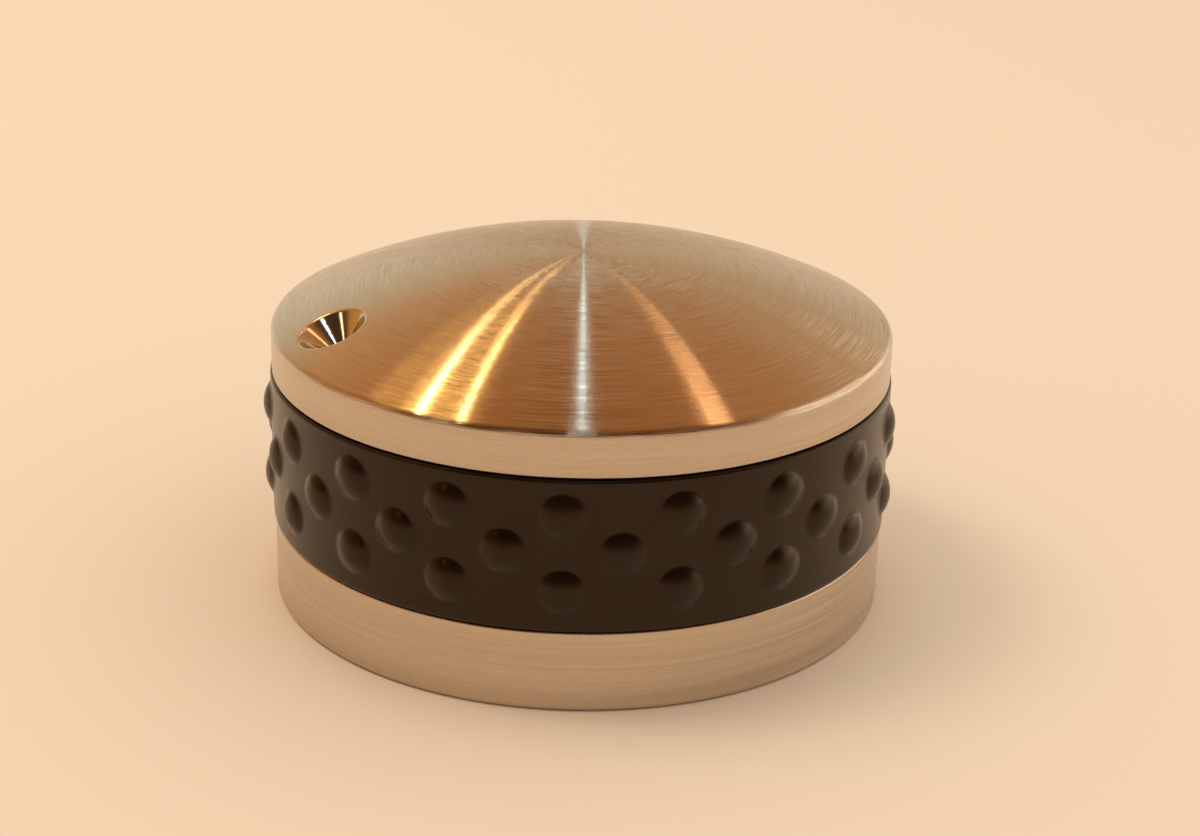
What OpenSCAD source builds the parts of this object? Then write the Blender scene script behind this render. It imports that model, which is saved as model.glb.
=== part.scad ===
// Push-on stove knob.
// A turned steel body with a domed top carries a studded rubber grip in a groove.
// A moulded hub, screwed into the hollow underside, slides onto a D-shaped tap spindle.
// The base rim lies on z = 0, the axis is +Z and the pointer dimple faces -Y.

/* [Metal body] */
// Diameter over the metal bands
body_d = 45; // [38:0.5:60]
// Height of the metal band below the grip
lower_band_h = 5.9; // [4:0.1:9]
// Height of the groove that holds the grip
groove_h = 11.05; // [9:0.05:16]
// Depth of the groove below the metal bands
groove_depth = 1.7; // [1.2:0.1:2.4]
// Height of the metal band above the grip
upper_band_h = 3.2; // [2.4:0.1:6]
// Rise of the dome above its rim, as if the rim were sharp
dome_rise = 5.15; // [3:0.05:8]
// Radius that rounds off the dome's rim
rim_round = 0.6; // [0.3:0.1:1.2]
// Chamfer on the outer edge of the base
base_break = 0.25; // [0.1:0.05:0.5]
// Chamfer on both lips of the groove
lip_break = 0.15; // [0.05:0.05:0.3]

/* [Hollow underside] */
// Wall left between the hollow and the groove
skirt_wall = 2.5; // [1.8:0.1:4]
// Metal left between the hollow's roof and the level of the dome's rim
crown_t = 3.65; // [2.5:0.05:5]
// Radius in the corner between the hollow's wall and its roof
roof_round = 1.5; // [0.5:0.1:2]
// Chamfer on the hollow's mouth
mouth_break = 0.6; // [0.2:0.1:1]

/* [Pointer dimple] */
// Diameter of the countersunk dimple at the dome's surface
dimple_d = 5; // [3:0.1:6]
// Included angle of the dimple's cone
dimple_angle = 82; // [70:1:120]
// Distance from the metal band in to the dimple's centre
dimple_inset = 3.5; // [3.3:0.1:8]

/* [Rubber grip] */
// How far the grip stands proud of the metal bands
grip_proud = 0.12; // [0:0.02:1]
// Radius on the grip's outer edges
grip_round = 0.2; // [0.1:0.05:0.8]
// Room between the grip and the floor of the groove
grip_floor_gap = 0.1; // [0.02:0.02:0.3]
// Room between the grip and each lip of the groove
grip_end_gap = 0.08; // [0.02:0.02:0.3]
// Studs in each row
studs_per_row = 18; // [12:1:24]
// Diameter of a stud where it leaves the grip
stud_d = 3.2; // [2:0.1:3.6]
// Height of a stud above the grip
stud_h = 0.55; // [0.3:0.05:1]
// Bare rubber above the top row of studs
grip_margin_top = 1.06; // [0.4:0.02:1.2]
// Bare rubber below the bottom row of studs
grip_margin_bottom = 1.38; // [0.4:0.02:2]
// Turn from the pointer to the first stud of the outer rows, in degrees
stud_turn = 4.2; // [0:0.1:20]

/* [Spindle hub] */
// Diameter of the spindle that the knob slides onto
spindle_d = 8; // [6:0.5:10]
// Depth of the flat that is cut on the spindle
spindle_flat_cut = 1.5; // [0.8:0.1:2]
// Room around the spindle in the D-shaped part of the socket
socket_gap = 0.05; // [0.02:0.01:0.15]
// Room around the spindle in the round lead-in
lead_in_gap = 0.25; // [0.1:0.05:0.45]
// Length of the round lead-in
lead_in_len = 5; // [3:0.5:7]
// Chamfer at the mouth of the lead-in
lead_in_break = 0.5; // [0.2:0.1:0.9]
// Wall of the barrel around the socket
hub_wall = 2.4; // [1.8:0.1:3]
// How far the hub's mouth lies above the base rim
hub_recess = 1.5; // [0.5:0.1:3]
// Thickness of the flange that is screwed to the roof
flange_t = 2.5; // [2:0.1:3.5]
// Flange left outside the screws' centres
flange_edge = 3.2; // [3:0.1:4]
// Height of the spigot that centres the hub in the crown
spigot_h = 2.6; // [1.5:0.1:3]
// Room around the spigot
spigot_gap = 0.06; // [0.02:0.02:0.2]
// Room above the spigot
spigot_end_gap = 0.2; // [0.1:0.05:0.5]
// Wall that closes the end of the socket
socket_end_wall = 2.6; // [1.5:0.1:4]
// Ribs that brace the flange
rib_count = 3; // [3:3:6]
// Thickness of a rib
rib_t = 1.6; // [1:0.1:2.4]
// Height of a rib where it meets the barrel
rib_h = 4.5; // [2:0.1:6]
// Flange left bare outside a rib
rib_setback = 1.2; // [0.5:0.1:2.5]

/* [Leaf spring] */
// Thickness of the spring strip
spring_t = 0.4; // [0.2:0.05:0.6]
// Width of the spring strip
spring_w = 5; // [3:0.1:5.4]
// How far the bowed spring stands past the flat of the socket
spring_bite = 0.3; // [0.1:0.05:0.6]
// Depth of the pocket behind the flat
pocket_depth = 1.3; // [1:0.1:1.8]
// Socket left plain at each end of the pocket
pocket_margin = 0.6; // [0.3:0.1:1.2]
// Room at the spring's edges and ends in its pocket
spring_gap = 0.1; // [0.05:0.05:0.2]
// Room between the spring's tips and the back of the pocket
spring_seat_gap = 0.04; // [0.02:0.02:0.1]

/* [Hub screws] */
// Screws that hold the hub, one between each pair of ribs
screw_count = 3; // [3:3:6]
// Diameter of a screw
screw_d = 3; // [2:0.5:3.5]
// Length of a screw under its head
screw_len = 6; // [5:0.5:7]
// Diameter of a screw's head
screw_head_d = 5.6; // [4.5:0.1:6]
// Height of a screw's head
screw_head_h = 1.7; // [1.4:0.1:2.2]
// Straight edge of a screw's head, below its dome
screw_head_edge = 0.4; // [0.2:0.1:0.6]
// Width across the flats of the hexagon socket
hex_w = 2; // [1.5:0.1:2.5]
// Depth of the hexagon socket
hex_depth = 1; // [0.6:0.1:1.2]
// Room around a screw in the flange
screw_hole_gap = 0.2; // [0.1:0.05:0.4]
// Room around a screw in its tapped hole
thread_gap = 0.03; // [0.02:0.01:0.1]
// Depth of the tapped hole past the end of a screw
tapped_spare = 0.6; // [0.3:0.1:1.2]
// Room between a screw's head and the barrel
screw_head_room = 0.75; // [0.4:0.05:1.5]

/* [Hidden] */
$fn = 96;
// Overlap that joins the shapes of one piece, and overshoot of its cuts
weld = 0.5;

steel_colour = [0.68, 0.61, 0.52];
rubber_colour = [0.12, 0.10, 0.08];
moulding_colour = [0.16, 0.16, 0.17];
spring_colour = [0.55, 0.54, 0.52];
screw_colour = [0.62, 0.62, 0.60];

body_r = body_d / 2;
groove_r = body_r - groove_depth;
groove_top = lower_band_h + groove_h;
rim_z = groove_top + upper_band_h;
dome_r = (body_r * body_r + dome_rise * dome_rise) / (2 * dome_rise);
dome_z = rim_z + dome_rise - dome_r;
// The rounded rim touches the dome along a circle at this radius and height
rim_round_z = dome_z + sqrt(pow(dome_r - rim_round, 2) - pow(body_r - rim_round, 2));
rim_touch_r = (body_r - rim_round) * dome_r / (dome_r - rim_round);

hollow_r = groove_r - skirt_wall;
roof_z = rim_z - crown_t;

dimple_tilt = asin((body_r - dimple_inset) / dome_r);
dimple_depth = dimple_d / 2 / tan(dimple_angle / 2);
dimple_rim_z = sqrt(dome_r * dome_r - dimple_d * dimple_d / 4);

grip_r = body_r + grip_proud;
grip_inner_r = groove_r + grip_floor_gap;
grip_z = lower_band_h + grip_end_gap;
grip_h = groove_h - 2 * grip_end_gap;
stud_ball_r = (stud_d * stud_d / 4 + stud_h * stud_h) / (2 * stud_h);
stud_pitch = 360 / studs_per_row;
bottom_row_z = lower_band_h + grip_margin_bottom + stud_d / 2;
top_row_z = groove_top - grip_margin_top - stud_d / 2;
middle_row_z = (bottom_row_z + top_row_z) / 2;

socket_r = spindle_d / 2 + socket_gap;
lead_in_r = spindle_d / 2 + lead_in_gap;
flat_y = spindle_d / 2 - spindle_flat_cut + socket_gap;
barrel_r = socket_r + hub_wall;
flange_z = roof_z - flange_t;
screw_circle_r = barrel_r + screw_head_room + screw_head_d / 2;
flange_r = screw_circle_r + flange_edge;
lead_in_top = hub_recess + lead_in_len;
socket_top = roof_z + spigot_h - socket_end_wall;

pocket_z = lead_in_top + pocket_margin;
pocket_len = socket_top - pocket_margin - pocket_z;
spring_len = pocket_len - 2 * spring_gap;
spring_rise = pocket_depth + spring_bite - spring_t - spring_seat_gap;
spring_inner_r = (spring_len * spring_len / 4 + spring_rise * spring_rise) / (2 * spring_rise);

tapped_depth = screw_len - flange_t + tapped_spare;
screw_dome_h = screw_head_h - screw_head_edge;
screw_dome_r = (screw_head_d * screw_head_d / 4 + screw_dome_h * screw_dome_h) / (2 * screw_dome_h);

// Places its children count times round the axis, the first one at the given angle
module around(count, start = 0) {
  for (k = [0 : count - 1])
    rotate([0, 0, start + k * 360 / count])
      children();
}

// Half outline of the solid blank: bands, rounded rim and dome
module blank_outline() {
  polygon([
    [0, 0],
    [body_r - base_break, 0],
    [body_r, base_break],
    [body_r, rim_round_z],
    [0, rim_round_z]
  ]);
  intersection() {
    square([rim_touch_r, rim_z + dome_rise]);
    translate([0, dome_z])
      circle(r = dome_r);
  }
  translate([body_r - rim_round, rim_round_z])
    circle(r = rim_round);
}

// Half outline of the grip's groove, with chamfered lips
module groove_outline() {
  polygon([
    [groove_r, lower_band_h],
    [body_r - lip_break, lower_band_h],
    [body_r + weld, lower_band_h - lip_break - weld],
    [body_r + weld, groove_top + lip_break + weld],
    [body_r - lip_break, groove_top],
    [groove_r, groove_top]
  ]);
}

// Half outline of the hollow, with a rounded roof corner and the hub's centring recess
module hollow_outline() {
  polygon([
    [0, -weld],
    [hollow_r + mouth_break + weld, -weld],
    [hollow_r, mouth_break],
    [hollow_r, roof_z - roof_round],
    [0, roof_z - roof_round]
  ]);
  square([hollow_r - roof_round, roof_z]);
  translate([hollow_r - roof_round, roof_z - roof_round])
    circle(r = roof_round);
  square([barrel_r + spigot_gap, roof_z + spigot_h + spigot_end_gap]);
}

// Conical countersink square to the dome's surface
module dimple_cut() {
  translate([0, 0, dome_z])
    rotate([dimple_tilt, 0, 0])
      translate([0, 0, dimple_rim_z - dimple_depth])
        cylinder(h = 2 * dimple_depth, r1 = 0, r2 = dimple_d);
}

module knob_body() {
  color(steel_colour)
    difference() {
      rotate_extrude()
        difference() {
          blank_outline();
          groove_outline();
          hollow_outline();
        }
      dimple_cut();
      around(screw_count)
        translate([screw_circle_r, 0, roof_z - weld])
          cylinder(h = tapped_depth + weld, r = screw_d / 2 + thread_gap);
    }
}

// Half outline of the grip without its studs
module grip_outline() {
  difference() {
    translate([grip_inner_r, grip_z])
      square([grip_r - grip_inner_r, grip_h]);
    for (end = [0, 1])
      translate([grip_r - grip_round, grip_z + (end == 0 ? grip_round : grip_h - grip_round)])
        difference() {
          translate([0, end == 0 ? -grip_round - weld : 0])
            square([grip_round + weld, grip_round + weld]);
          circle(r = grip_round);
        }
  }
}

// One row of ball-topped studs, rooted in the grip's wall
module stud_row(row_z, start) {
  around(studs_per_row, start)
    translate([grip_r + stud_h - stud_ball_r, 0, row_z])
      sphere(r = stud_ball_r);
}

module grip_band() {
  root_r = grip_r - min(weld, (grip_r - grip_inner_r) / 2);
  pointer_angle = -90;
  color(rubber_colour)
    union() {
      rotate_extrude()
        grip_outline();
      difference() {
        union() {
          stud_row(bottom_row_z, pointer_angle + stud_turn);
          stud_row(middle_row_z, pointer_angle + stud_turn + stud_pitch / 2);
          stud_row(top_row_z, pointer_angle + stud_turn);
        }
        cylinder(h = rim_z, r = root_r);
      }
    }
}

// Half outline of the barrel, flange and centring spigot
module hub_outline() {
  polygon([
    [0, hub_recess],
    [barrel_r - lead_in_break, hub_recess],
    [barrel_r, hub_recess + lead_in_break],
    [barrel_r, flange_z],
    [flange_r, flange_z],
    [flange_r, roof_z],
    [barrel_r, roof_z],
    [barrel_r, roof_z + spigot_h],
    [0, roof_z + spigot_h]
  ]);
}

// Triangular rib between the barrel and the flange
module hub_rib() {
  rotate([90, 0, 0])
    linear_extrude(height = rib_t, center = true)
      polygon([
        [barrel_r - weld, flange_z - rib_h],
        [barrel_r, flange_z - rib_h],
        [flange_r - rib_setback, flange_z],
        [flange_r - rib_setback, flange_z + weld],
        [barrel_r - weld, flange_z + weld]
      ]);
}

// Round lead-in, D-shaped socket and the spring's pocket behind the flat
module spindle_socket() {
  pocket_w = spring_w + 2 * spring_gap;
  translate([0, 0, hub_recess - weld])
    cylinder(h = lead_in_len + weld, r = lead_in_r);
  translate([0, 0, hub_recess - weld])
    cylinder(h = lead_in_break + weld, r1 = lead_in_r + lead_in_break + weld, r2 = lead_in_r);
  translate([0, 0, lead_in_top - weld])
    intersection() {
      cylinder(h = socket_top - lead_in_top + weld, r = socket_r);
      translate([-socket_r, -flat_y, 0])
        cube([2 * socket_r, flat_y + socket_r, socket_top]);
    }
  translate([-pocket_w / 2, -flat_y - pocket_depth, pocket_z])
    cube([pocket_w, pocket_depth + weld, pocket_len]);
}

module hub_insert() {
  color(moulding_colour)
    difference() {
      union() {
        rotate_extrude()
          hub_outline();
        around(rib_count, 180 / rib_count)
          hub_rib();
      }
      spindle_socket();
      around(screw_count)
        translate([screw_circle_r, 0, flange_z - weld])
          cylinder(h = flange_t + 2 * weld, r = screw_d / 2 + screw_hole_gap);
    }
}

// Bowed strip whose crown presses on the spindle's flat
module leaf_spring() {
  crown_y = flat_y - spring_bite;
  color(spring_colour)
    translate([0, 0, pocket_z + pocket_len / 2])
      rotate([90, 0, -90])
        linear_extrude(height = spring_w, center = true)
          translate([crown_y, -spring_len / 2])
            intersection() {
              square([spring_t + spring_rise + weld, spring_len]);
              translate([spring_t + spring_inner_r, spring_len / 2])
                difference() {
                  circle(r = spring_inner_r + spring_t);
                  circle(r = spring_inner_r);
                }
            }
}

// Button-head screw with its head down, its bearing face on the flange
module hub_screw() {
  translate([screw_circle_r, 0, flange_z])
    difference() {
      union() {
        cylinder(h = screw_len, d = screw_d);
        translate([0, 0, -screw_head_edge])
          cylinder(h = screw_head_edge, d = screw_head_d);
        intersection() {
          translate([0, 0, -screw_head_h])
            cylinder(h = screw_dome_h, d = screw_head_d);
          translate([0, 0, screw_dome_r - screw_head_h])
            sphere(r = screw_dome_r);
        }
      }
      translate([0, 0, -screw_head_h - weld])
        cylinder(h = hex_depth + weld, r = hex_w / 2 / cos(30), $fn = 6);
    }
}

module hub_screws() {
  color(screw_colour)
    around(screw_count)
      hub_screw();
}

knob_body();
grip_band();
hub_insert();
leaf_spring();
hub_screws();
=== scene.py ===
import math

import bmesh
import bpy
from mathutils import Euler, Matrix, Vector


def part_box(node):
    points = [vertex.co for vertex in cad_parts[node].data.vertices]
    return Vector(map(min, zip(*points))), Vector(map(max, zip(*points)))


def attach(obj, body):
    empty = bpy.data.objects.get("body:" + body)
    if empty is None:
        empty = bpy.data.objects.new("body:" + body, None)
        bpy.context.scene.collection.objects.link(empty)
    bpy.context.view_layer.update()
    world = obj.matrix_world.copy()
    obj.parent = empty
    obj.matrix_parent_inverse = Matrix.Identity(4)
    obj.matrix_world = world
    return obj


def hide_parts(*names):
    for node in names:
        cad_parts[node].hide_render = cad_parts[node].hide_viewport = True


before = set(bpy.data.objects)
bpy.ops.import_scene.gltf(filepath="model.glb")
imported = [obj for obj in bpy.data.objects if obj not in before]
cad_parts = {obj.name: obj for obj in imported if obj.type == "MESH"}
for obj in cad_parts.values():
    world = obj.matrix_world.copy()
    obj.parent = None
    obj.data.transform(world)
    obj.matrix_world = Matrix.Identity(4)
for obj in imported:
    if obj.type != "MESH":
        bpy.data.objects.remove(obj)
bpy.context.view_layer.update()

MM = 0.001
UP = Vector((0, 0, 1))

# Turned steel body, as in the part's source
BODY_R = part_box("knob_body")[1][0]
APEX_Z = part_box("knob_body")[1][2]
LOWER_BAND_H = 5.9 * MM
GROOVE_TOP = 16.95 * MM
GROOVE_R = 20.8 * MM
RIM_Z = 20.15 * MM
RIM_ROUND = 0.6 * MM
BASE_BREAK = 0.25 * MM
LIP_BREAK = 0.15 * MM
HOLLOW_R = 18.3 * MM
MOUTH_BREAK = 0.6 * MM
ROOF_Z = 16.5 * MM
ROOF_ROUND = 1.5 * MM
RECESS_R = 6.51 * MM
RECESS_TOP = 19.3 * MM
DOME_RISE = APEX_Z - RIM_Z
DOME_R = (BODY_R ** 2 + DOME_RISE ** 2) / (2 * DOME_RISE)
DOME_CENTRE = Vector((0, 0, APEX_Z - DOME_R))
RIM_ROUND_Z = DOME_CENTRE.z + math.sqrt((DOME_R - RIM_ROUND) ** 2 - (BODY_R - RIM_ROUND) ** 2)
RIM_ANGLE = math.asin((BODY_R - RIM_ROUND) / (DOME_R - RIM_ROUND))

# Countersunk pointer dimple, square to the dome on its -Y side
DIMPLE_R = 2.5 * MM
DIMPLE_HALF_ANGLE = math.radians(41)
DIMPLE_INSET = 3.5 * MM
DIMPLE_TILT = math.asin((BODY_R - DIMPLE_INSET) / DOME_R)
DIMPLE_LIP = 0.16 * MM
DIMPLE_LIP_INNER = DIMPLE_LIP * 0.6
DIMPLE_TIP_RISE = 0.02 * MM

# The window left open in the dome for the dimple: half its width, and how far down it starts
WINDOW_HALF_TURN = math.radians(9.5)
WINDOW_START = math.radians(17.6)

# Rubber grip and its studs
GRIP_R = 22.62 * MM
GRIP_INNER_R = 20.9 * MM
GRIP_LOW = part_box("grip_band")[0][2]
GRIP_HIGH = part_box("grip_band")[1][2]
GRIP_ROUND = 0.2 * MM
STUD_ROWS = 3
STUDS_PER_ROW = 18
STUD_D = 3.2 * MM
STUD_H = 0.535 * MM
STUD_TURN = math.radians(-90 + 4.2)
BOTTOM_ROW_Z = 8.88 * MM
ROW_SPACING = 2.705 * MM
STUD_FOOT = 0.1 * MM

# How finely the turned pieces are divided
BODY_STEPS = 288
DOME_RINGS = 44
DIMPLE_LIP_STEPS = 5
DIMPLE_CONE_RINGS = 9
GRIP_STEPS = 972
GRIP_ROWS = 76
MERGE_DISTANCE = 0.5e-6
SHARP_EDGE = math.radians(30)
SHARP_STUD_EDGE = math.radians(60)

# The body's finishes, in the order of its materials
DOME_FINISH = 0
DIMPLE_FINISH = 1
BAND_FINISH = 2

# Where the photograph was taken from
VIEW_TURN = math.radians(66.7)
VIEW_RISE = 0.3765
VIEW_DISTANCE = 175.73 * MM
AIM_HEIGHT = 12.375 * MM
VIEW_YAW = -0.0083
VIEW_ROLL = -0.0206
LENS = 71.238
SENSOR_WIDTH = 36

# How far the floor reaches, and how far off the lamps stand
FLOOR_REACH = 3.0
KEY_DISTANCE = 0.9
STREAK_DISTANCE = 0.6


class Skin:
    """Faces whose corners carry their own normals, joined where their corners meet."""

    def __init__(self):
        self.spots = {}
        self.points = []
        self.faces = []
        self.normals = []
        self.finishes = []

    def spot(self, place):
        key = tuple(round(value * 1e7) for value in place)
        if key not in self.spots:
            self.spots[key] = len(self.points)
            self.points.append(tuple(place))
        return self.spots[key]

    def face(self, corners, finish=DOME_FINISH):
        """Adds a face from (place, normal) corners, turned to agree with its normals."""
        kept = []
        for place, normal in corners:
            spot = self.spot(place)
            if spot not in [k[0] for k in kept]:
                kept.append((spot, Vector(normal)))
        if len(kept) < 3:
            return
        a, b, c = (Vector(self.points[kept[k][0]]) for k in (0, 1, 2))
        outward = sum((k[1] for k in kept), Vector())
        if (b - a).cross(c - b).dot(outward) < 0:
            kept.reverse()
        self.faces.append([k[0] for k in kept])
        self.normals.extend(k[1].normalized() for k in kept)
        self.finishes.append(finish)

    def strip(self, first, second, finish=DOME_FINISH):
        """Joins two closed loops of (place, normal) corners that have the same count."""
        count = len(first)
        for k in range(count):
            after = (k + 1) % count
            self.face((first[k], first[after], second[after], second[k]), finish)

    def mesh(self, name, keep_normals=True):
        mesh = bpy.data.meshes.new(name)
        mesh.from_pydata(self.points, [], self.faces)
        mesh.polygons.foreach_set("use_smooth", [True] * len(self.faces))
        mesh.polygons.foreach_set("material_index", self.finishes)
        if keep_normals:
            mesh.normals_split_custom_set(self.normals)
        return mesh


def piece(name, mesh):
    """Puts a mesh into the scene as an object at the origin."""
    thing = bpy.data.objects.new(name, mesh)
    bpy.context.scene.collection.objects.link(thing)
    return thing


def turned_loop(point, steps):
    """One ring of corners round the axis, from a profile point (r, z, normal r, normal z)."""
    r, z, out, rise = point
    loop = []
    for k in range(steps):
        angle = 2 * math.pi * k / steps
        c, s = math.cos(angle), math.sin(angle)
        loop.append(((r * c, r * s, z), (out * c, out * s, rise)))
    return loop


def turn_run(skin, run, steps, finish=DOME_FINISH):
    """Turns one smooth run of profile points round the axis."""
    loops = [turned_loop(point, steps) for point in run]
    for first, second in zip(loops, loops[1:]):
        skin.strip(first, second, finish)


def arc(r, z, radius, start, end, steps, inside=False):
    """Profile points along an arc about (r, z); angles in radians from outwards to upwards."""
    run = []
    side = -1 if inside else 1
    for k in range(steps + 1):
        angle = start + (end - start) * k / steps
        c, s = math.cos(angle), math.sin(angle)
        run.append((r + radius * c, z + radius * s, side * c, side * s))
    return run


def wall(r, low, high, side, rows=1):
    """Profile points up a straight wall that faces outwards (1) or inwards (-1)."""
    return [(r, low + (high - low) * k / rows, side, 0) for k in range(rows + 1)]


def flat(z, inner, outer, side, rows=1):
    """Profile points across a level face that looks up (1) or down (-1)."""
    return [(inner + (outer - inner) * k / rows, z, 0, side) for k in range(rows + 1)]


def soft_break(start, end, start_normal, end_normal):
    """A broken edge whose shading rolls over from one face to the next."""
    return [(*start, *start_normal), (*end, *end_normal)]


def dome_corner(place):
    """A point dropped onto the dome along its radius, with the dome's own normal."""
    normal = (Vector(place) - DOME_CENTRE).normalized()
    return DOME_CENTRE + normal * DOME_R, normal


def build_dome(skin):
    """The dome in rings, left open in a window that the pointer dimple then fills."""
    steep = [RIM_ANGLE * k / DOME_RINGS for k in range(DOME_RINGS + 1)]
    loops = []
    for angle in steep:
        r = DOME_R * math.sin(angle)
        z = DOME_CENTRE.z + DOME_R * math.cos(angle)
        loops.append(turned_loop((r, z, math.sin(angle), math.cos(angle)), BODY_STEPS))

    pointer = BODY_STEPS * 3 // 4
    half_width = math.ceil(WINDOW_HALF_TURN / (2 * math.pi) * BODY_STEPS)
    inner_ring = int(DOME_RINGS * WINDOW_START / RIM_ANGLE)
    low, high = pointer - half_width, pointer + half_width
    for ring in range(DOME_RINGS):
        for k in range(BODY_STEPS):
            after = (k + 1) % BODY_STEPS
            if ring >= inner_ring and low <= k < high:
                continue
            near, far = loops[ring], loops[ring + 1]
            skin.face((near[k], near[after], far[after], far[k]))

    window = [loops[inner_ring][k] for k in range(low, high)]
    window += [loops[ring][high] for ring in range(inner_ring, DOME_RINGS)]
    window += [loops[DOME_RINGS][k] for k in range(high, low, -1)]
    window += [loops[ring][low] for ring in range(DOME_RINGS, inner_ring, -1)]
    return window


def build_dimple(skin, window):
    """A countersink with a softly rounded lip, set into the window left in the dome."""
    axis = Vector((0, -math.sin(DIMPLE_TILT), math.cos(DIMPLE_TILT)))
    across = Vector((1, 0, 0))
    along = axis.cross(across)
    turns = []
    for place, _ in window:
        offset = Vector(place) - DOME_CENTRE
        turns.append(math.atan2(offset.dot(along), offset.dot(across)))

    def dimple_loop(r, h, out, rise):
        loop = []
        for turn in turns:
            spoke = across * math.cos(turn) + along * math.sin(turn)
            loop.append((DOME_CENTRE + spoke * r + axis * h, spoke * out + axis * rise))
        return loop

    def on_dome(r):
        return r, math.sqrt(DOME_R ** 2 - r ** 2), r / DOME_R, math.sqrt(1 - (r / DOME_R) ** 2)

    lip = on_dome(DIMPLE_R + DIMPLE_LIP)
    edge = on_dome(DIMPLE_R)
    slope = math.tan(DIMPLE_HALF_ANGLE)
    cone_normal = (-math.cos(DIMPLE_HALF_ANGLE), math.sin(DIMPLE_HALF_ANGLE))
    tip_h = edge[1] - DIMPLE_R / slope
    start_r = DIMPLE_R - DIMPLE_LIP_INNER
    start_h = tip_h + start_r / slope

    profile = [lip]
    for k in range(1, DIMPLE_LIP_STEPS):
        t = k / DIMPLE_LIP_STEPS
        r = (1 - t) ** 2 * lip[0] + 2 * t * (1 - t) * edge[0] + t ** 2 * start_r
        h = (1 - t) ** 2 * lip[1] + 2 * t * (1 - t) * edge[1] + t ** 2 * start_h
        dr = 2 * (1 - t) * (edge[0] - lip[0]) + 2 * t * (start_r - edge[0])
        dh = 2 * (1 - t) * (edge[1] - lip[1]) + 2 * t * (start_h - edge[1])
        profile.append((r, h, dh, -dr))
    for k in range(DIMPLE_CONE_RINGS):
        r = start_r * (1 - k / DIMPLE_CONE_RINGS)
        profile.append((r, tip_h + r / slope, *cone_normal))
    profile.append((0, tip_h + DIMPLE_TIP_RISE, 0, 1))

    rounds = [dimple_loop(*point) for point in profile]
    middle = []
    for (outer, _), (inner, _) in zip(window, rounds[0]):
        middle.append(dome_corner((Vector(outer) + Vector(inner)) / 2))
    skin.strip(window, middle)
    skin.strip(middle, rounds[0])
    for k, (first, second) in enumerate(zip(rounds, rounds[1:])):
        skin.strip(first, second, DIMPLE_FINISH if k >= 1 else DOME_FINISH)


def turned_body():
    """The whole steel body: dome and dimple, bands, groove, base rim and hollow underside."""
    skin = Skin()
    window = build_dome(skin)
    build_dimple(skin, window)
    groove_lip_r = BODY_R - LIP_BREAK
    corner_r = HOLLOW_R - ROOF_ROUND
    corner_z = ROOF_Z - ROOF_ROUND
    upright = math.pi / 2
    rim = arc(BODY_R - RIM_ROUND, RIM_ROUND_Z, RIM_ROUND, upright - RIM_ANGLE, 0, 10)
    turn_run(skin, rim, BODY_STEPS)
    runs = [
        wall(BODY_R, RIM_ROUND_Z, GROOVE_TOP + LIP_BREAK, 1, 6),
        soft_break((BODY_R, GROOVE_TOP + LIP_BREAK), (groove_lip_r, GROOVE_TOP), (1, 0), (0, -1)),
        flat(GROOVE_TOP, GROOVE_R, groove_lip_r, -1),
        wall(GROOVE_R, LOWER_BAND_H, GROOVE_TOP, 1),
        flat(LOWER_BAND_H, GROOVE_R, groove_lip_r, 1),
        soft_break((groove_lip_r, LOWER_BAND_H), (BODY_R, LOWER_BAND_H - LIP_BREAK), (0, 1), (1, 0)),
        wall(BODY_R, BASE_BREAK, LOWER_BAND_H - LIP_BREAK, 1, 10),
        soft_break((BODY_R, BASE_BREAK), (BODY_R - BASE_BREAK, 0), (1, 0), (0, -1)),
        flat(0, HOLLOW_R + MOUTH_BREAK, BODY_R - BASE_BREAK, -1, 4),
        soft_break((HOLLOW_R + MOUTH_BREAK, 0), (HOLLOW_R, MOUTH_BREAK), (0, -1), (-1, 0)),
        wall(HOLLOW_R, MOUTH_BREAK, corner_z, -1, 10),
        arc(corner_r, corner_z, ROOF_ROUND, 0, upright, 8, inside=True),
        flat(ROOF_Z, RECESS_R, corner_r, -1, 8),
        wall(RECESS_R, ROOF_Z, RECESS_TOP, -1, 2),
        flat(RECESS_TOP, 0, RECESS_R, -1, 4),
    ]
    for run in runs:
        turn_run(skin, run, BODY_STEPS, BAND_FINISH)
    return piece("turned_body", skin.mesh("turned_body"))


def join(tree, value, socket):
    """Sets a socket, or links it where the value is another node's output."""
    if isinstance(value, bpy.types.NodeSocket):
        tree.links.new(value, socket)
    else:
        socket.default_value = value


def add(tree, kind, sockets=None, **settings):
    """Adds a node with its settings and sockets."""
    node = tree.nodes.new(kind)
    for name, value in settings.items():
        setattr(node, name, value)
    for name, value in (sockets or {}).items():
        join(tree, value, node.inputs[name])
    return node


def calc(tree, operation, *values):
    """One Math node; returns its output."""
    node = tree.nodes.new("ShaderNodeMath")
    node.operation = operation
    for socket, value in zip(node.inputs, values):
        join(tree, value, socket)
    return node.outputs[0]


def span(tree, value, low, high, new_low=0.0, new_high=1.0, smooth=False):
    """Maps a range of values onto another and holds it at its ends."""
    sockets = {"Value": value, "From Min": low, "From Max": high, "To Min": new_low, "To Max": new_high}
    kind = "SMOOTHSTEP" if smooth else "LINEAR"
    return add(tree, "ShaderNodeMapRange", sockets, interpolation_type=kind).outputs["Result"]


def blend_colours(tree, factor, first, second):
    """Mixes two colours; returns the mixed colour."""
    node = tree.nodes.new("ShaderNodeMix")
    node.data_type = "RGBA"
    for spot, value in ((0, factor), (6, first), (7, second)):
        if isinstance(value, tuple) and len(value) == 3:
            value = (*value, 1.0)
        join(tree, value, node.inputs[spot])
    return node.outputs[2]


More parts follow.
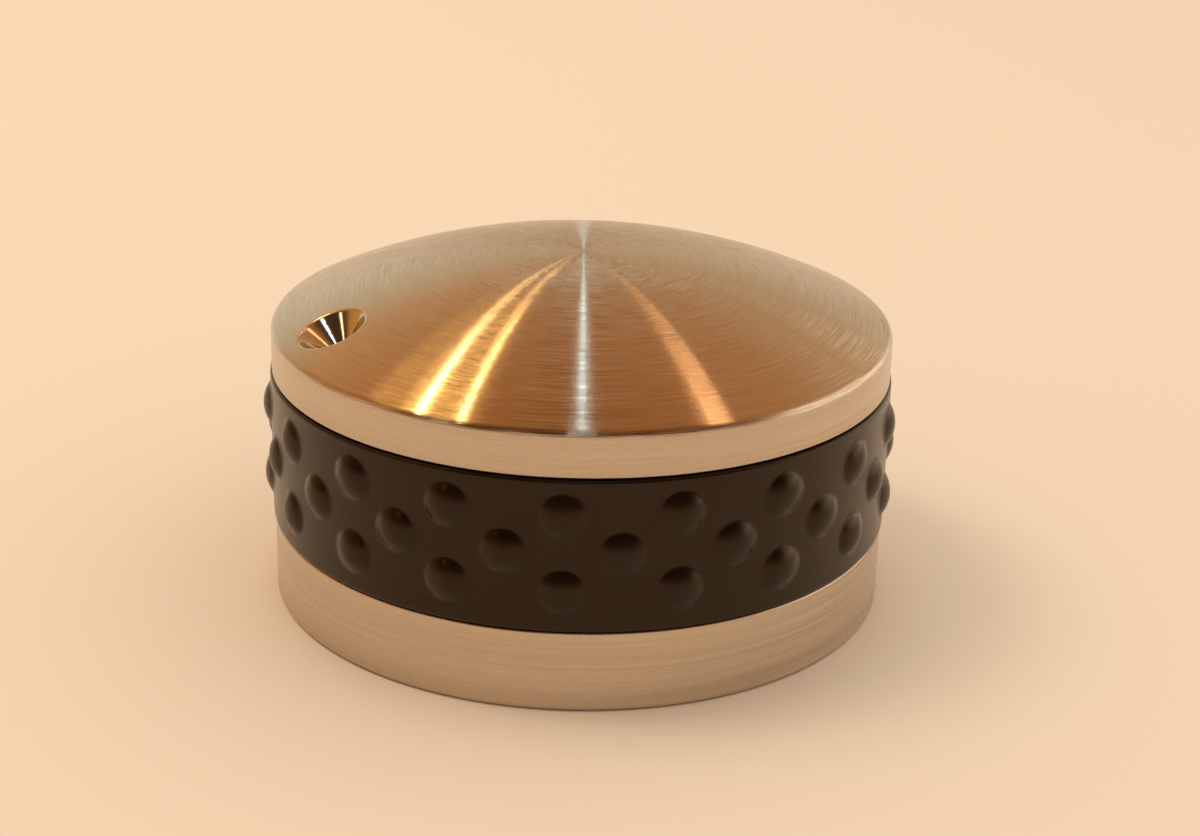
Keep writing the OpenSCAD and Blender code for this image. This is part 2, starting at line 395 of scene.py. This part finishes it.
def new_tree(name, kind, inputs, outputs):
    """An empty node group with named sockets, given as (name, socket type, value)."""
    tree = bpy.data.node_groups.new(name, kind)
    for side, sockets in (("INPUT", inputs), ("OUTPUT", outputs)):
        for label, socket_type, value in sockets:
            socket = tree.interface.new_socket(label, in_out=side, socket_type=socket_type)
            if value is not None:
                socket.default_value = value
    return tree, tree.nodes.new("NodeGroupInput").outputs, tree.nodes.new("NodeGroupOutput").inputs


def stud_tree():
    """Raises three staggered rows of ball-topped studs out of the grip's outer wall."""
    number = "NodeSocketFloat"
    tree, given, made = new_tree(
        "raise_studs",
        "GeometryNodeTree",
        [
            ("Geometry", "NodeSocketGeometry", None),
            ("Wall radius", number, None),
            ("Stud width", number, None),
            ("Stud height", number, None),
            ("Studs per row", number, None),
            ("First stud", number, None),
            ("Bottom row", number, None),
            ("Row spacing", number, None),
            ("Foot blend", number, None),
            ("Rubber", "NodeSocketMaterial", None),
        ],
        [("Geometry", "NodeSocketGeometry", None)],
    )
    position = add(tree, "GeometryNodeInputPosition").outputs[0]
    x, y, z = add(tree, "ShaderNodeSeparateXYZ", {"Vector": position}).outputs
    squared = calc(tree, "ADD", calc(tree, "MULTIPLY", x, x), calc(tree, "MULTIPLY", y, y))
    radius = calc(tree, "SQRT", squared)
    angle = calc(tree, "ARCTAN2", y, x)

    half_width = calc(tree, "MULTIPLY", given["Stud width"], 0.5)
    height = given["Stud height"]
    squares = calc(tree, "MULTIPLY_ADD", half_width, half_width, calc(tree, "MULTIPLY", height, height))
    ball = calc(tree, "DIVIDE", squares, calc(tree, "MULTIPLY", height, 2.0))
    crown = calc(tree, "ADD", given["Wall radius"], height)
    centre = calc(tree, "SUBTRACT", crown, ball)
    pitch = calc(tree, "DIVIDE", 2 * math.pi, given["Studs per row"])
    half_pitch = calc(tree, "MULTIPLY", pitch, 0.5)

    ball_squared = calc(tree, "MULTIPLY", ball, ball)
    tallest = None
    for row in range(STUD_ROWS):
        shift = calc(tree, "MULTIPLY_ADD", half_pitch, float(row % 2), given["First stud"])
        past = calc(tree, "SUBTRACT", angle, shift)
        swing = calc(tree, "WRAP", past, calc(tree, "MULTIPLY", half_pitch, -1.0), half_pitch)
        row_z = calc(tree, "MULTIPLY_ADD", given["Row spacing"], float(row), given["Bottom row"])
        rise = calc(tree, "SUBTRACT", z, row_z)
        side = calc(tree, "MULTIPLY", centre, calc(tree, "SINE", swing))
        inside = calc(tree, "SUBTRACT", ball_squared, calc(tree, "MULTIPLY", rise, rise))
        inside = calc(tree, "SUBTRACT", inside, calc(tree, "MULTIPLY", side, side))
        bulge = calc(tree, "SQRT", calc(tree, "MAXIMUM", inside, 0.0))
        top = calc(tree, "MULTIPLY_ADD", centre, calc(tree, "COSINE", swing), bulge)
        tallest = top if tallest is None else calc(tree, "MAXIMUM", tallest, top)
    reach = calc(tree, "SMOOTH_MAX", tallest, radius, given["Foot blend"])
    reach = calc(tree, "MINIMUM", reach, crown)
    stretch = calc(tree, "DIVIDE", reach, radius)

    just_inside = calc(tree, "MULTIPLY", given["Wall radius"], 0.99999)
    on_wall = calc(tree, "GREATER_THAN", radius, just_inside)
    moved = add(tree, "ShaderNodeCombineXYZ", {
        "X": calc(tree, "MULTIPLY", x, stretch),
        "Y": calc(tree, "MULTIPLY", y, stretch),
        "Z": z,
    })
    shaped = add(tree, "GeometryNodeSetPosition", {
        "Geometry": given["Geometry"],
        "Selection": on_wall,
        "Position": moved.outputs[0],
    })
    real = add(tree, "GeometryNodeRealizeInstances", {"Geometry": shaped.outputs[0]})
    dressed = add(tree, "GeometryNodeSetMaterial", {
        "Geometry": real.outputs[0],
        "Material": given["Rubber"],
    })
    join(tree, dressed.outputs[0], made["Geometry"])
    return tree


def studded_grip(rubber):
    """The moulded ring with rounded edges, its studs raised by the stud tree."""
    skin = Skin()
    upright = math.pi / 2
    edge_r = GRIP_R - GRIP_ROUND
    low_z, high_z = GRIP_LOW + GRIP_ROUND, GRIP_HIGH - GRIP_ROUND
    runs = [
        wall(GRIP_INNER_R, GRIP_LOW, GRIP_HIGH, -1),
        flat(GRIP_LOW, GRIP_INNER_R, edge_r, -1),
        arc(edge_r, low_z, GRIP_ROUND, -upright, 0, 4),
        wall(GRIP_R, low_z, high_z, 1, GRIP_ROWS),
        arc(edge_r, high_z, GRIP_ROUND, 0, upright, 4),
        flat(GRIP_HIGH, GRIP_INNER_R, edge_r, 1),
    ]
    for run in runs:
        turn_run(skin, run, GRIP_STEPS)
    grip = piece("studded_grip", skin.mesh("plain_ring", keep_normals=False))
    tree = stud_tree()
    values = {
        "Wall radius": GRIP_R,
        "Stud width": STUD_D,
        "Stud height": STUD_H,
        "Studs per row": float(STUDS_PER_ROW),
        "First stud": STUD_TURN,
        "Bottom row": BOTTOM_ROW_Z,
        "Row spacing": ROW_SPACING,
        "Foot blend": STUD_FOOT,
        "Rubber": rubber,
    }
    studs = grip.modifiers.new("studs", "NODES")
    studs.node_group = tree
    for socket in tree.interface.items_tree:
        if socket.in_out == "INPUT" and socket.name in values:
            studs[socket.identifier] = values[socket.name]
    shaped = grip.evaluated_get(bpy.context.evaluated_depsgraph_get())
    mesh = bpy.data.meshes.new_from_object(shaped)
    grip.modifiers.clear()
    grip.data = mesh
    mesh.name = "studded_grip"
    mesh.set_sharp_from_angle(angle=SHARP_STUD_EDGE)
    return grip


def smooth_copy(node, name, material):
    """A merged copy of a CAD node, shaded smooth across its curved faces."""
    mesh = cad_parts[node].data.copy()
    mesh.name = name
    work = bmesh.new()
    work.from_mesh(mesh)
    bmesh.ops.remove_doubles(work, verts=work.verts, dist=MERGE_DISTANCE)
    work.to_mesh(mesh)
    work.free()
    mesh.polygons.foreach_set("use_smooth", [True] * len(mesh.polygons))
    mesh.set_sharp_from_angle(angle=SHARP_EDGE)
    mesh.materials.clear()
    mesh.materials.append(material)
    return piece(name, mesh)


def lathe_lines_group():
    """Lines left by a turning tool: their flanks lean along the profile, never round the axis."""
    number, vector = "NodeSocketFloat", "NodeSocketVector"
    tree, given, made = new_tree(
        "lathe_lines",
        "ShaderNodeTree",
        [
            ("Place", vector, None),
            ("Surface normal", vector, None),
            ("Height share", number, 1.0),
            ("Wander", number, 1.0),
            ("Fine lean", number, 1.0),
            ("Coarse lean", number, 0.2),
        ],
        [("Lines", number, None), ("Bands", number, None), ("Normal", vector, None)],
    )
    x, y, z = add(tree, "ShaderNodeSeparateXYZ", {"Vector": given["Place"]}).outputs
    level = add(tree, "ShaderNodeCombineXYZ", {"X": x, "Y": y}).outputs[0]
    r = add(tree, "ShaderNodeVectorMath", {0: level}, operation="LENGTH").outputs["Value"]
    spoke = add(tree, "ShaderNodeVectorMath", {0: level}, operation="NORMALIZE").outputs[0]
    travel = calc(tree, "SUBTRACT", r, calc(tree, "MULTIPLY", z, given["Height share"]))
    patterns = {}
    for label, per_metre, wander, detail in (
        ("fine", 80000.0, 5.0, 2.0),
        ("coarse", 4200.0, 1.4, 2.0),
        ("bands", 420.0, 0.6, 3.0),
    ):
        drift = calc(tree, "MULTIPLY", given["Wander"], wander)
        around = add(tree, "ShaderNodeVectorMath", {0: spoke, "Scale": drift}, operation="SCALE").outputs[0]
        across = add(tree, "ShaderNodeSeparateXYZ", {"Vector": around}).outputs
        spot = add(tree, "ShaderNodeCombineXYZ", {
            "X": calc(tree, "MULTIPLY", travel, per_metre),
            "Y": across[0],
            "Z": across[1],
        })
        noise = add(tree, "ShaderNodeTexNoise", {"Vector": spot.outputs[0], "Scale": 1.0, "Detail": detail})
        patterns[label] = noise.outputs[0]
    fine = calc(tree, "MULTIPLY", calc(tree, "SUBTRACT", patterns["fine"], 0.5), given["Fine lean"])
    coarse = calc(tree, "MULTIPLY", calc(tree, "SUBTRACT", patterns["coarse"], 0.5), given["Coarse lean"])
    around = add(tree, "ShaderNodeVectorMath", {0: UP, 1: spoke}, operation="CROSS_PRODUCT").outputs[0]
    normal = given["Surface normal"]
    along = add(tree, "ShaderNodeVectorMath", {0: normal, 1: around}, operation="CROSS_PRODUCT").outputs[0]
    lean = add(tree, "ShaderNodeVectorMath", {
        0: along, "Scale": calc(tree, "ADD", fine, coarse),
    }, operation="SCALE").outputs[0]
    leant = add(tree, "ShaderNodeVectorMath", {0: normal, 1: lean}, operation="ADD").outputs[0]
    leant = add(tree, "ShaderNodeVectorMath", {0: leant}, operation="NORMALIZE").outputs[0]
    join(tree, patterns["coarse"], made["Lines"])
    join(tree, patterns["bands"], made["Bands"])
    join(tree, leant, made["Normal"])
    return tree


def moulded_grain_group():
    """Fine leathery grain of a moulded surface, with a slow drift over it."""
    number = "NodeSocketFloat"
    tree, given, made = new_tree(
        "moulded_grain",
        "ShaderNodeTree",
        [("Place", "NodeSocketVector", None), ("Grains per metre", number, 5000.0)],
        [("Grain", number, None), ("Drift", number, None)],
    )
    grain = add(tree, "ShaderNodeTexNoise", {
        "Vector": given["Place"],
        "Scale": given["Grains per metre"],
        "Detail": 3.0,
        "Roughness": 0.6,
    })
    slow = calc(tree, "MULTIPLY", given["Grains per metre"], 0.05)
    drift = add(tree, "ShaderNodeTexNoise", {"Vector": given["Place"], "Scale": slow, "Detail": 4.0})
    join(tree, grain.outputs[0], made["Grain"])
    join(tree, drift.outputs[0], made["Drift"])
    return tree


def specks_group():
    """Scattered small spots, such as pits in metal or dust on rubber."""
    number = "NodeSocketFloat"
    tree, given, made = new_tree(
        "scattered_specks",
        "ShaderNodeTree",
        [
            ("Place", "NodeSocketVector", None),
            ("Cells per metre", number, 900.0),
            ("Size", number, 0.1),
            ("Share", number, 0.1),
        ],
        [("Specks", number, None)],
    )
    cells = add(tree, "ShaderNodeTexVoronoi", {"Vector": given["Place"], "Scale": given["Cells per metre"]})
    chance = add(tree, "ShaderNodeSeparateColor", {"Color": cells.outputs["Color"]}).outputs
    picked = calc(tree, "LESS_THAN", chance[0], given["Share"])
    size = calc(tree, "MULTIPLY", given["Size"], calc(tree, "MULTIPLY_ADD", chance[1], 0.8, 0.4))
    ratio = calc(tree, "DIVIDE", cells.outputs["Distance"], size)
    spot = span(tree, ratio, 0.6, 1.0, 1.0, 0.0)
    join(tree, calc(tree, "MULTIPLY", spot, picked), made["Specks"])
    return tree


def new_material(name):
    """A material with its shader, and the Object coordinates that its patterns read."""
    material = bpy.data.materials.new(name)
    material.use_nodes = True
    tree = material.node_tree
    shader = tree.nodes["Principled BSDF"]
    place = tree.nodes.new("ShaderNodeTexCoord").outputs["Object"]
    return material, tree, shader, place


def use_group(tree, group, sockets):
    """Places a shared effect in a material."""
    node = tree.nodes.new("ShaderNodeGroup")
    node.node_tree = group
    for name, value in sockets.items():
        join(tree, value, node.inputs[name])
    return node.outputs


def bump(tree, shader, height, distance):
    """Raises the surface a little by a height pattern, the distance in metres."""
    sockets = {"Height": height, "Distance": distance}
    join(tree, add(tree, "ShaderNodeBump", sockets).outputs[0], shader.inputs["Normal"])


def turned_steel(name, lathe_lines, wander, leans, roughness, tones):
    """Steel turned on a lathe: each line mirrors along its length and scatters across it."""
    material, tree, shader, place = new_material(name)
    lines = use_group(tree, lathe_lines, {
        "Place": place,
        "Surface normal": tree.nodes.new("ShaderNodeNewGeometry").outputs["Normal"],
        "Height share": 1.0,
        "Wander": wander,
        "Fine lean": leans[0],
        "Coarse lean": leans[1],
    })
    tone = calc(tree, "MULTIPLY_ADD", lines["Lines"], 0.5, calc(tree, "MULTIPLY", lines["Bands"], 0.5))
    steel = blend_colours(tree, span(tree, tone, 0.3, 0.7), *tones)
    join(tree, span(tree, lines["Lines"], 0.34, 0.66, *roughness), shader.inputs["Roughness"])
    shader.inputs["Metallic"].default_value = 1.0
    shader.inputs["Anisotropic Rotation"].default_value = 0.25
    tangent = add(tree, "ShaderNodeTangent", direction_type="RADIAL", axis="Z")
    join(tree, tangent.outputs[0], shader.inputs["Tangent"])
    join(tree, lines["Normal"], shader.inputs["Normal"])
    return material, tree, shader, place, steel


def turned_dome_material(lathe_lines):
    """The dome and its rim, finely turned and bright."""
    tones = (0.55, 0.48, 0.40), (0.595, 0.52, 0.44)
    made = turned_steel("turned_dome", lathe_lines, 1.0, (2.4, 0.02), (0.105, 0.135), tones)
    material, tree, shader, _, steel = made
    shader.inputs["Anisotropic"].default_value = 0.95
    join(tree, steel, shader.inputs["Base Color"])
    return material


def turned_bands_material(lathe_lines, specks):
    """The bands and the underside, duller than the dome, with a few small pits."""
    tones = (0.51, 0.42, 0.325), (0.64, 0.53, 0.42)
    made = turned_steel("turned_bands", lathe_lines, 0.4, (0.95, 0.16), (0.25, 0.32), tones)
    material, tree, shader, place, steel = made
    shader.inputs["Anisotropic"].default_value = 0.5
    pits = use_group(tree, specks, {"Place": place, "Cells per metre": 700.0, "Size": 0.06, "Share": 0.06})
    shown = calc(tree, "MULTIPLY", pits["Specks"], 0.6)
    join(tree, blend_colours(tree, shown, steel, (0.12, 0.08, 0.05)), shader.inputs["Base Color"])
    return material


def polished_dimple_material(lathe_lines):
    """The countersink's bright cone, with faint tool rings about its own axis."""
    material, tree, shader, place = new_material("polished_dimple")
    axis = Vector((0, -math.sin(DIMPLE_TILT), math.cos(DIMPLE_TILT)))
    own = add(tree, "ShaderNodeMapping", {
        "Vector": place,
        "Location": DOME_CENTRE + axis * DOME_R,
        "Rotation": Euler((DIMPLE_TILT, 0, 0)),
    }, vector_type="TEXTURE").outputs[0]
    rings = use_group(tree, lathe_lines, {
        "Place": own,
        "Surface normal": tree.nodes.new("ShaderNodeNewGeometry").outputs["Normal"],
        "Height share": 0.0,
        "Fine lean": 0.0,
        "Coarse lean": 0.05,
    })
    tone = span(tree, rings["Bands"], 0.3, 0.7)
    steel = blend_colours(tree, tone, (0.58, 0.53, 0.47), (0.68, 0.63, 0.56))
    join(tree, steel, shader.inputs["Base Color"])
    join(tree, span(tree, rings["Bands"], 0.3, 0.7, 0.08, 0.12), shader.inputs["Roughness"])
    shader.inputs["Metallic"].default_value = 1.0
    join(tree, rings["Normal"], shader.inputs["Normal"])
    return material


def grip_rubber_material(moulded_grain, specks):
    """Dark satin rubber with a fine moulded grain, worn stud tops that are rougher and carry painted shade,
    and a little dust.
    """
    material, tree, shader, place = new_material("grip_rubber")
    grain = use_group(tree, moulded_grain, {"Place": place, "Grains per metre": 5200.0})
    dust = use_group(tree, specks, {"Place": place, "Cells per metre": 620.0, "Size": 0.035, "Share": 0.05})
    x, y, z = add(tree, "ShaderNodeSeparateXYZ", {"Vector": place}).outputs
    level = add(tree, "ShaderNodeCombineXYZ", {"X": x, "Y": y}).outputs[0]
    r = add(tree, "ShaderNodeVectorMath", {0: level}, operation="LENGTH").outputs["Value"]
    worn_and_shaded_tops = span(tree, r, GRIP_R + 0.2 * MM, GRIP_R + STUD_H)
    mottled = span(tree, grain["Drift"], 0.3, 0.7)
    rubber = blend_colours(tree, mottled, (0.0036, 0.0014, 0.0007), (0.0060, 0.0026, 0.0014))
    # Stud tops painted darker: painted shade standing for the dark surroundings they mirror. The added
    # roughness further down is wear.
    rubber = blend_colours(tree, calc(tree, "MULTIPLY", worn_and_shaded_tops, 0.5), rubber, (0.0030, 0.0014, 0.0008))
    rubber = blend_colours(tree, calc(tree, "MULTIPLY", dust["Specks"], 0.6), rubber, (0.32, 0.28, 0.23))
    join(tree, rubber, shader.inputs["Base Color"])
    satin = calc(tree, "MULTIPLY_ADD", mottled, 0.04, calc(tree, "MULTIPLY_ADD", worn_and_shaded_tops, 0.07, 0.245))
    join(tree, satin, shader.inputs["Roughness"])
    shader.inputs["Specular IOR Level"].default_value = 0.40
    shader.inputs["Specular Tint"].default_value = (1.0, 0.76, 0.54, 1.0)
    shader.inputs["Sheen Weight"].default_value = 0.12
    shader.inputs["Sheen Roughness"].default_value = 0.3
    shader.inputs["Sheen Tint"].default_value = (1.0, 0.62, 0.34, 1.0)
    bump(tree, shader, grain["Grain"], 0.006 * MM)
    return material


def hub_moulding_material(moulded_grain):
    """Black glass-filled nylon: matt, with a coarse sparked grain."""
    material, tree, shader, place = new_material("hub_moulding")
    grain = use_group(tree, moulded_grain, {"Place": place, "Grains per metre": 3200.0})
    mottled = span(tree, grain["Drift"], 0.3, 0.7)
    nylon = blend_colours(tree, mottled, (0.028, 0.028, 0.03), (0.05, 0.05, 0.052))
    join(tree, nylon, shader.inputs["Base Color"])
    join(tree, span(tree, grain["Drift"], 0.3, 0.7, 0.5, 0.62), shader.inputs["Roughness"])
    bump(tree, shader, grain["Grain"], 0.03 * MM)
    return material


def spring_strip_material(moulded_grain):
    """Rolled spring strip with fine draw lines along its length."""
    material, tree, shader, place = new_material("spring_strip")
    drawn = add(tree, "ShaderNodeMapping", {"Vector": place, "Scale": (1.0, 1.0, 0.02)}).outputs[0]
    lines = use_group(tree, moulded_grain, {"Place": drawn, "Grains per metre": 9000.0})
    tone = span(tree, lines["Grain"], 0.3, 0.7)
    strip = blend_colours(tree, tone, (0.42, 0.41, 0.39), (0.58, 0.57, 0.55))
    join(tree, strip, shader.inputs["Base Color"])
    join(tree, span(tree, lines["Grain"], 0.3, 0.7, 0.22, 0.34), shader.inputs["Roughness"])
    shader.inputs["Metallic"].default_value = 1.0
    bump(tree, shader, lines["Grain"], 0.004 * MM)
    return material


def zinc_plate_material(specks):
    """Bright zinc plate with a slight cloud and a few dull spots."""
    material, tree, shader, place = new_material("zinc_plate")
    cloud = add(tree, "ShaderNodeTexNoise", {"Vector": place, "Scale": 900.0, "Detail": 4.0}).outputs[0]
    spots = use_group(tree, specks, {"Place": place, "Cells per metre": 1600.0, "Size": 0.2, "Share": 0.15})
    plate = blend_colours(tree, span(tree, cloud, 0.3, 0.7), (0.52, 0.53, 0.53), (0.68, 0.67, 0.63))
    plate = blend_colours(tree, calc(tree, "MULTIPLY", spots["Specks"], 0.5), plate, (0.3, 0.29, 0.27))
    join(tree, plate, shader.inputs["Base Color"])
    join(tree, span(tree, cloud, 0.3, 0.7, 0.2, 0.32), shader.inputs["Roughness"])
    shader.inputs["Metallic"].default_value = 1.0
    bump(tree, shader, cloud, 0.01 * MM)
    return material


def in_view(right, away, up=0.0):
    """A direction given as the camera sees it, turned into the knob's own frame."""
    return Matrix.Rotation(VIEW_TURN, 3, "Z") @ Vector((right, away, up))


def build_camera():
    """The camera at the photograph's place, with its slight turn and tilt."""
    aim = Vector((0, 0, AIM_HEIGHT))
    back = in_view(0, -math.cos(VIEW_RISE), math.sin(VIEW_RISE))
    forward = -back
    right = forward.cross(UP).normalized()
    up = right.cross(forward)
    c, s = math.cos(VIEW_YAW), math.sin(VIEW_YAW)
    right, forward = right * c + forward * s, forward * c - right * s
    c, s = math.cos(VIEW_ROLL), math.sin(VIEW_ROLL)
    right, up = right * c - up * s, up * c + right * s
    lens = bpy.data.cameras.new("camera")
    lens.lens = LENS
    lens.sensor_width = SENSOR_WIDTH
    lens.clip_start = 0.01
    camera = piece("camera", lens)
    turn = Matrix((right, up, -forward)).transposed().to_4x4()
    camera.matrix_world = Matrix.Translation(aim + back * VIEW_DISTANCE) @ turn
    bpy.context.scene.camera = camera


def build_floor():
    """A plain pale floor in one cream colour."""
    far = FLOOR_REACH
    corners = [(-far, -far, 0), (far, -far, 0), (far, far, 0), (-far, far, 0)]
    mesh = bpy.data.meshes.new("floor")
    mesh.from_pydata(corners, [], [(0, 1, 2, 3)])
    material, _, shader, _ = new_material("floor")
    shader.inputs["Base Color"].default_value = (0.84, 0.62, 0.41, 1.0)
    shader.inputs["Roughness"].default_value = 0.9
    shader.inputs["Specular IOR Level"].default_value = 0.0
    mesh.materials.append(material)
    piece("floor", mesh)


def build_world():
    """Soft fill for matt surfaces, cooler from the right; metal and the camera see warm surroundings."""
    world = bpy.data.worlds.new("studio")
    bpy.context.scene.world = world
    world.use_nodes = True
    tree = world.node_tree
    tree.nodes.clear()
    look = tree.nodes.new("ShaderNodeTexCoord").outputs["Generated"]
    height = add(tree, "ShaderNodeSeparateXYZ", {"Vector": look}).outputs["Z"]

    def by_height(stops):
        ramp = tree.nodes.new("ShaderNodeValToRGB")
        while len(ramp.color_ramp.elements) < len(stops):
            ramp.color_ramp.elements.new(0.5)
        for element, (spot, colour) in zip(ramp.color_ramp.elements, stops):
            element.position = spot
            element.color = (*colour, 1.0)
        join(tree, height, ramp.inputs["Fac"])
        return ramp.outputs["Color"]

    def towards(right, away, low, high):
        sides = {0: look, 1: in_view(right, away)}
        part = add(tree, "ShaderNodeVectorMath", sides, operation="DOT_PRODUCT")
        return span(tree, part.outputs["Value"], low, high, smooth=True)

    far = by_height([
        (0.0, (0.77, 0.63, 0.45)),
        (0.35, (0.63, 0.42, 0.23)),
        (0.7, (0.60, 0.27, 0.09)),
        (0.93, (0.46, 0.17, 0.045)),
        (1.0, (0.36, 0.13, 0.035)),
    ])
    near = by_height([
        (0.0, (0.70, 0.24, 0.05)),
        (0.22, (0.20, 0.07, 0.017)),
        (0.6, (0.06, 0.028, 0.012)),
        (0.97, (0.10, 0.045, 0.018)),
    ])
    bright_side = by_height([
        (0.0, (2.2, 1.85, 1.5)),
        (0.35, (1.3, 0.96, 0.64)),
        (0.7, (0.45, 0.20, 0.08)),
    ])
    pale_side = by_height([
        (0.0, (0.90, 0.79, 0.61)),
        (0.35, (0.76, 0.61, 0.40)),
        (0.55, (0.74, 0.38, 0.15)),
        (0.72, (0.66, 0.28, 0.08)),
        (0.93, (0.46, 0.17, 0.045)),
        (1.0, (0.36, 0.13, 0.035)),
    ])
    amber_side = by_height([
        (0.0, (0.70, 0.32, 0.07)),
        (0.5, (0.50, 0.20, 0.06)),
        (0.9, (0.36, 0.13, 0.035)),
    ])
    seen_colour = blend_colours(tree, towards(-1.0, 0.0, 0.05, 0.3), far, pale_side)
    seen_colour = blend_colours(tree, towards(-1.0, 0.0, 0.5, 0.85), seen_colour, amber_side)
    seen_colour = blend_colours(tree, towards(1.0, 0.1, 0.45, 0.85), seen_colour, bright_side)
    seen_colour = blend_colours(tree, towards(0.0, -1.0, 0.05, 0.45), seen_colour, near)
    rays = tree.nodes.new("ShaderNodeLightPath").outputs
    mirrored = calc(tree, "MAXIMUM", rays["Is Glossy Ray"], rays["Is Transmission Ray"])
    mirrored = calc(tree, "MAXIMUM", mirrored, rays["Is Camera Ray"])
    soft = blend_colours(tree, towards(-0.94, -0.34, -0.8, 0.8), (0.96, 1.02, 1.12), (0.70, 0.61, 0.53))
    fill = add(tree, "ShaderNodeBackground", {"Color": soft, "Strength": 1.0})
    seen = add(tree, "ShaderNodeBackground", {"Color": seen_colour, "Strength": 1.0})
    either = add(tree, "ShaderNodeMixShader", {0: mirrored, 1: fill.outputs[0], 2: seen.outputs[0]})
    out = tree.nodes.new("ShaderNodeOutputWorld")
    join(tree, either.outputs[0], out.inputs["Surface"])


def lamp(name, place, facing, across, width, height, power, colour):
    """A rectangular lamp at a place, facing back along a direction, its width laid across."""
    light = bpy.data.lights.new(name, "AREA")
    light.shape = "RECTANGLE"
    light.size = width
    light.size_y = height
    light.energy = power
    light.color = colour
    thing = piece(name, light)
    back = facing.normalized()
    side = (across - back * across.dot(back)).normalized()
    turn = Matrix((side, back.cross(side), back)).transposed().to_4x4()
    thing.matrix_world = Matrix.Translation(place) @ turn
    thing.visible_camera = False
    return thing


def build_lamps():
    """Soft keys from the left and above, and narrow lamps that draw the streaks on the turned dome."""
    middle = Vector((0, 0, AIM_HEIGHT))
    soft = [
        ("left_key", 184, 63, 0.30, 0.80, (1.0, 0.97, 0.92)),
        ("main_key", 166, 58, 0.30, 1.20, (1.0, 0.98, 0.95)),
        ("top_soft", 114, 79, 0.30, 0.80, (1.0, 1.0, 1.0)),
    ]
    for name, azimuth, height, size, power, colour in soft:
        az, el = math.radians(azimuth), math.radians(height)
        facing = in_view(math.cos(el) * math.cos(az), math.cos(el) * math.sin(az), math.sin(el))
        light = lamp(name, middle + facing * KEY_DISTANCE, facing, in_view(0, 1), size, size, power, colour)
        light.visible_glossy = False

    eye = middle + in_view(0, -math.cos(VIEW_RISE), math.sin(VIEW_RISE)) * VIEW_DISTANCE
    accents = [
        ("golden_first", -118.4, 30, 0.008, 0.16, 0.115, (1.0, 0.77, 0.40)),
        ("golden_first_high", -118.4, 16, 0.006, 0.16, 0.028, (1.0, 0.70, 0.32)),
        ("golden_first_soft", -118.2, 30, 0.032, 0.16, 0.075, (1.0, 0.62, 0.22)),
        ("golden_second", -110.5, 30, 0.008, 0.16, 0.09, (1.0, 0.66, 0.29)),
        ("golden_second_high", -110.5, 16, 0.006, 0.16, 0.020, (1.0, 0.64, 0.26)),
        ("golden_second_soft", -110.7, 30, 0.028, 0.16, 0.055, (1.0, 0.58, 0.18)),
        ("golden_glow", -117.0, 28, 0.10, 0.16, 0.09, (1.0, 0.60, 0.16)),
        ("golden_glow_wide", -119.0, 28, 0.20, 0.16, 0.13, (1.0, 0.58, 0.16)),
        ("golden_low", -114.0, 62, 0.07, 0.05, 0.036, (1.0, 0.76, 0.40)),
        ("white", -89.7, 18, 0.006, 0.24, 0.025, (0.62, 0.98, 1.10)),
        ("white_soft", -89.7, 18, 0.018, 0.24, 0.014, (0.60, 0.94, 1.06)),
        ("white_back", 90.3, 6, 0.006, 0.24, 0.0025, (0.76, 1.0, 1.06)),
        ("white_low", -89.7, 50, 0.08, 0.05, 0.06, (0.86, 1.0, 1.06)),
        ("orange", -65.6, 30, 0.047, 0.36, 0.12, (1.0, 0.54, 0.26)),
    ]
    for name, azimuth, tilt, width, height, power, colour in accents:
        turn, lean = math.radians(azimuth), math.radians(tilt)
        spoke = in_view(math.cos(turn), math.sin(turn))
        rim = spoke * (BODY_R - RIM_ROUND) + UP * RIM_ROUND_Z
        half = spoke * math.sin(lean) + UP * math.cos(lean)
        view = (eye - rim).normalized()
        facing = half * 2 * half.dot(view) - view
        place = rim + facing * STREAK_DISTANCE
        accent = lamp(name, place, facing, UP.cross(spoke), width, height, power, colour)
        accent.visible_diffuse = False


def dress_knob():
    """Makes every piece of the knob, gives it its finish and ties it to the CAD body."""
    lathe_lines = lathe_lines_group()
    moulded_grain = moulded_grain_group()
    specks = specks_group()

    body = turned_body()
    body.data.materials.append(turned_dome_material(lathe_lines))
    body.data.materials.append(polished_dimple_material(lathe_lines))
    body.data.materials.append(turned_bands_material(lathe_lines, specks))
    grip = studded_grip(grip_rubber_material(moulded_grain, specks))
    hub = smooth_copy("hub_insert", "moulded_hub", hub_moulding_material(moulded_grain))
    spring = smooth_copy("leaf_spring", "bowed_spring", spring_strip_material(moulded_grain))
    screws = smooth_copy("hub_screws", "button_screws", zinc_plate_material(specks))
    for thing, node, slot in (
        (body, "knob_body", "turned_steel"),
        (grip, "grip_band", "grip_rubber"),
        (hub, "hub_insert", "hub_moulding"),
        (spring, "leaf_spring", "spring_steel"),
        (screws, "hub_screws", "screw_steel"),
    ):
        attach(thing, "root")
        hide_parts(node)


bpy.context.scene.view_settings.view_transform = "Standard"
build_camera()
build_floor()
build_world()
build_lamps()
dress_knob()
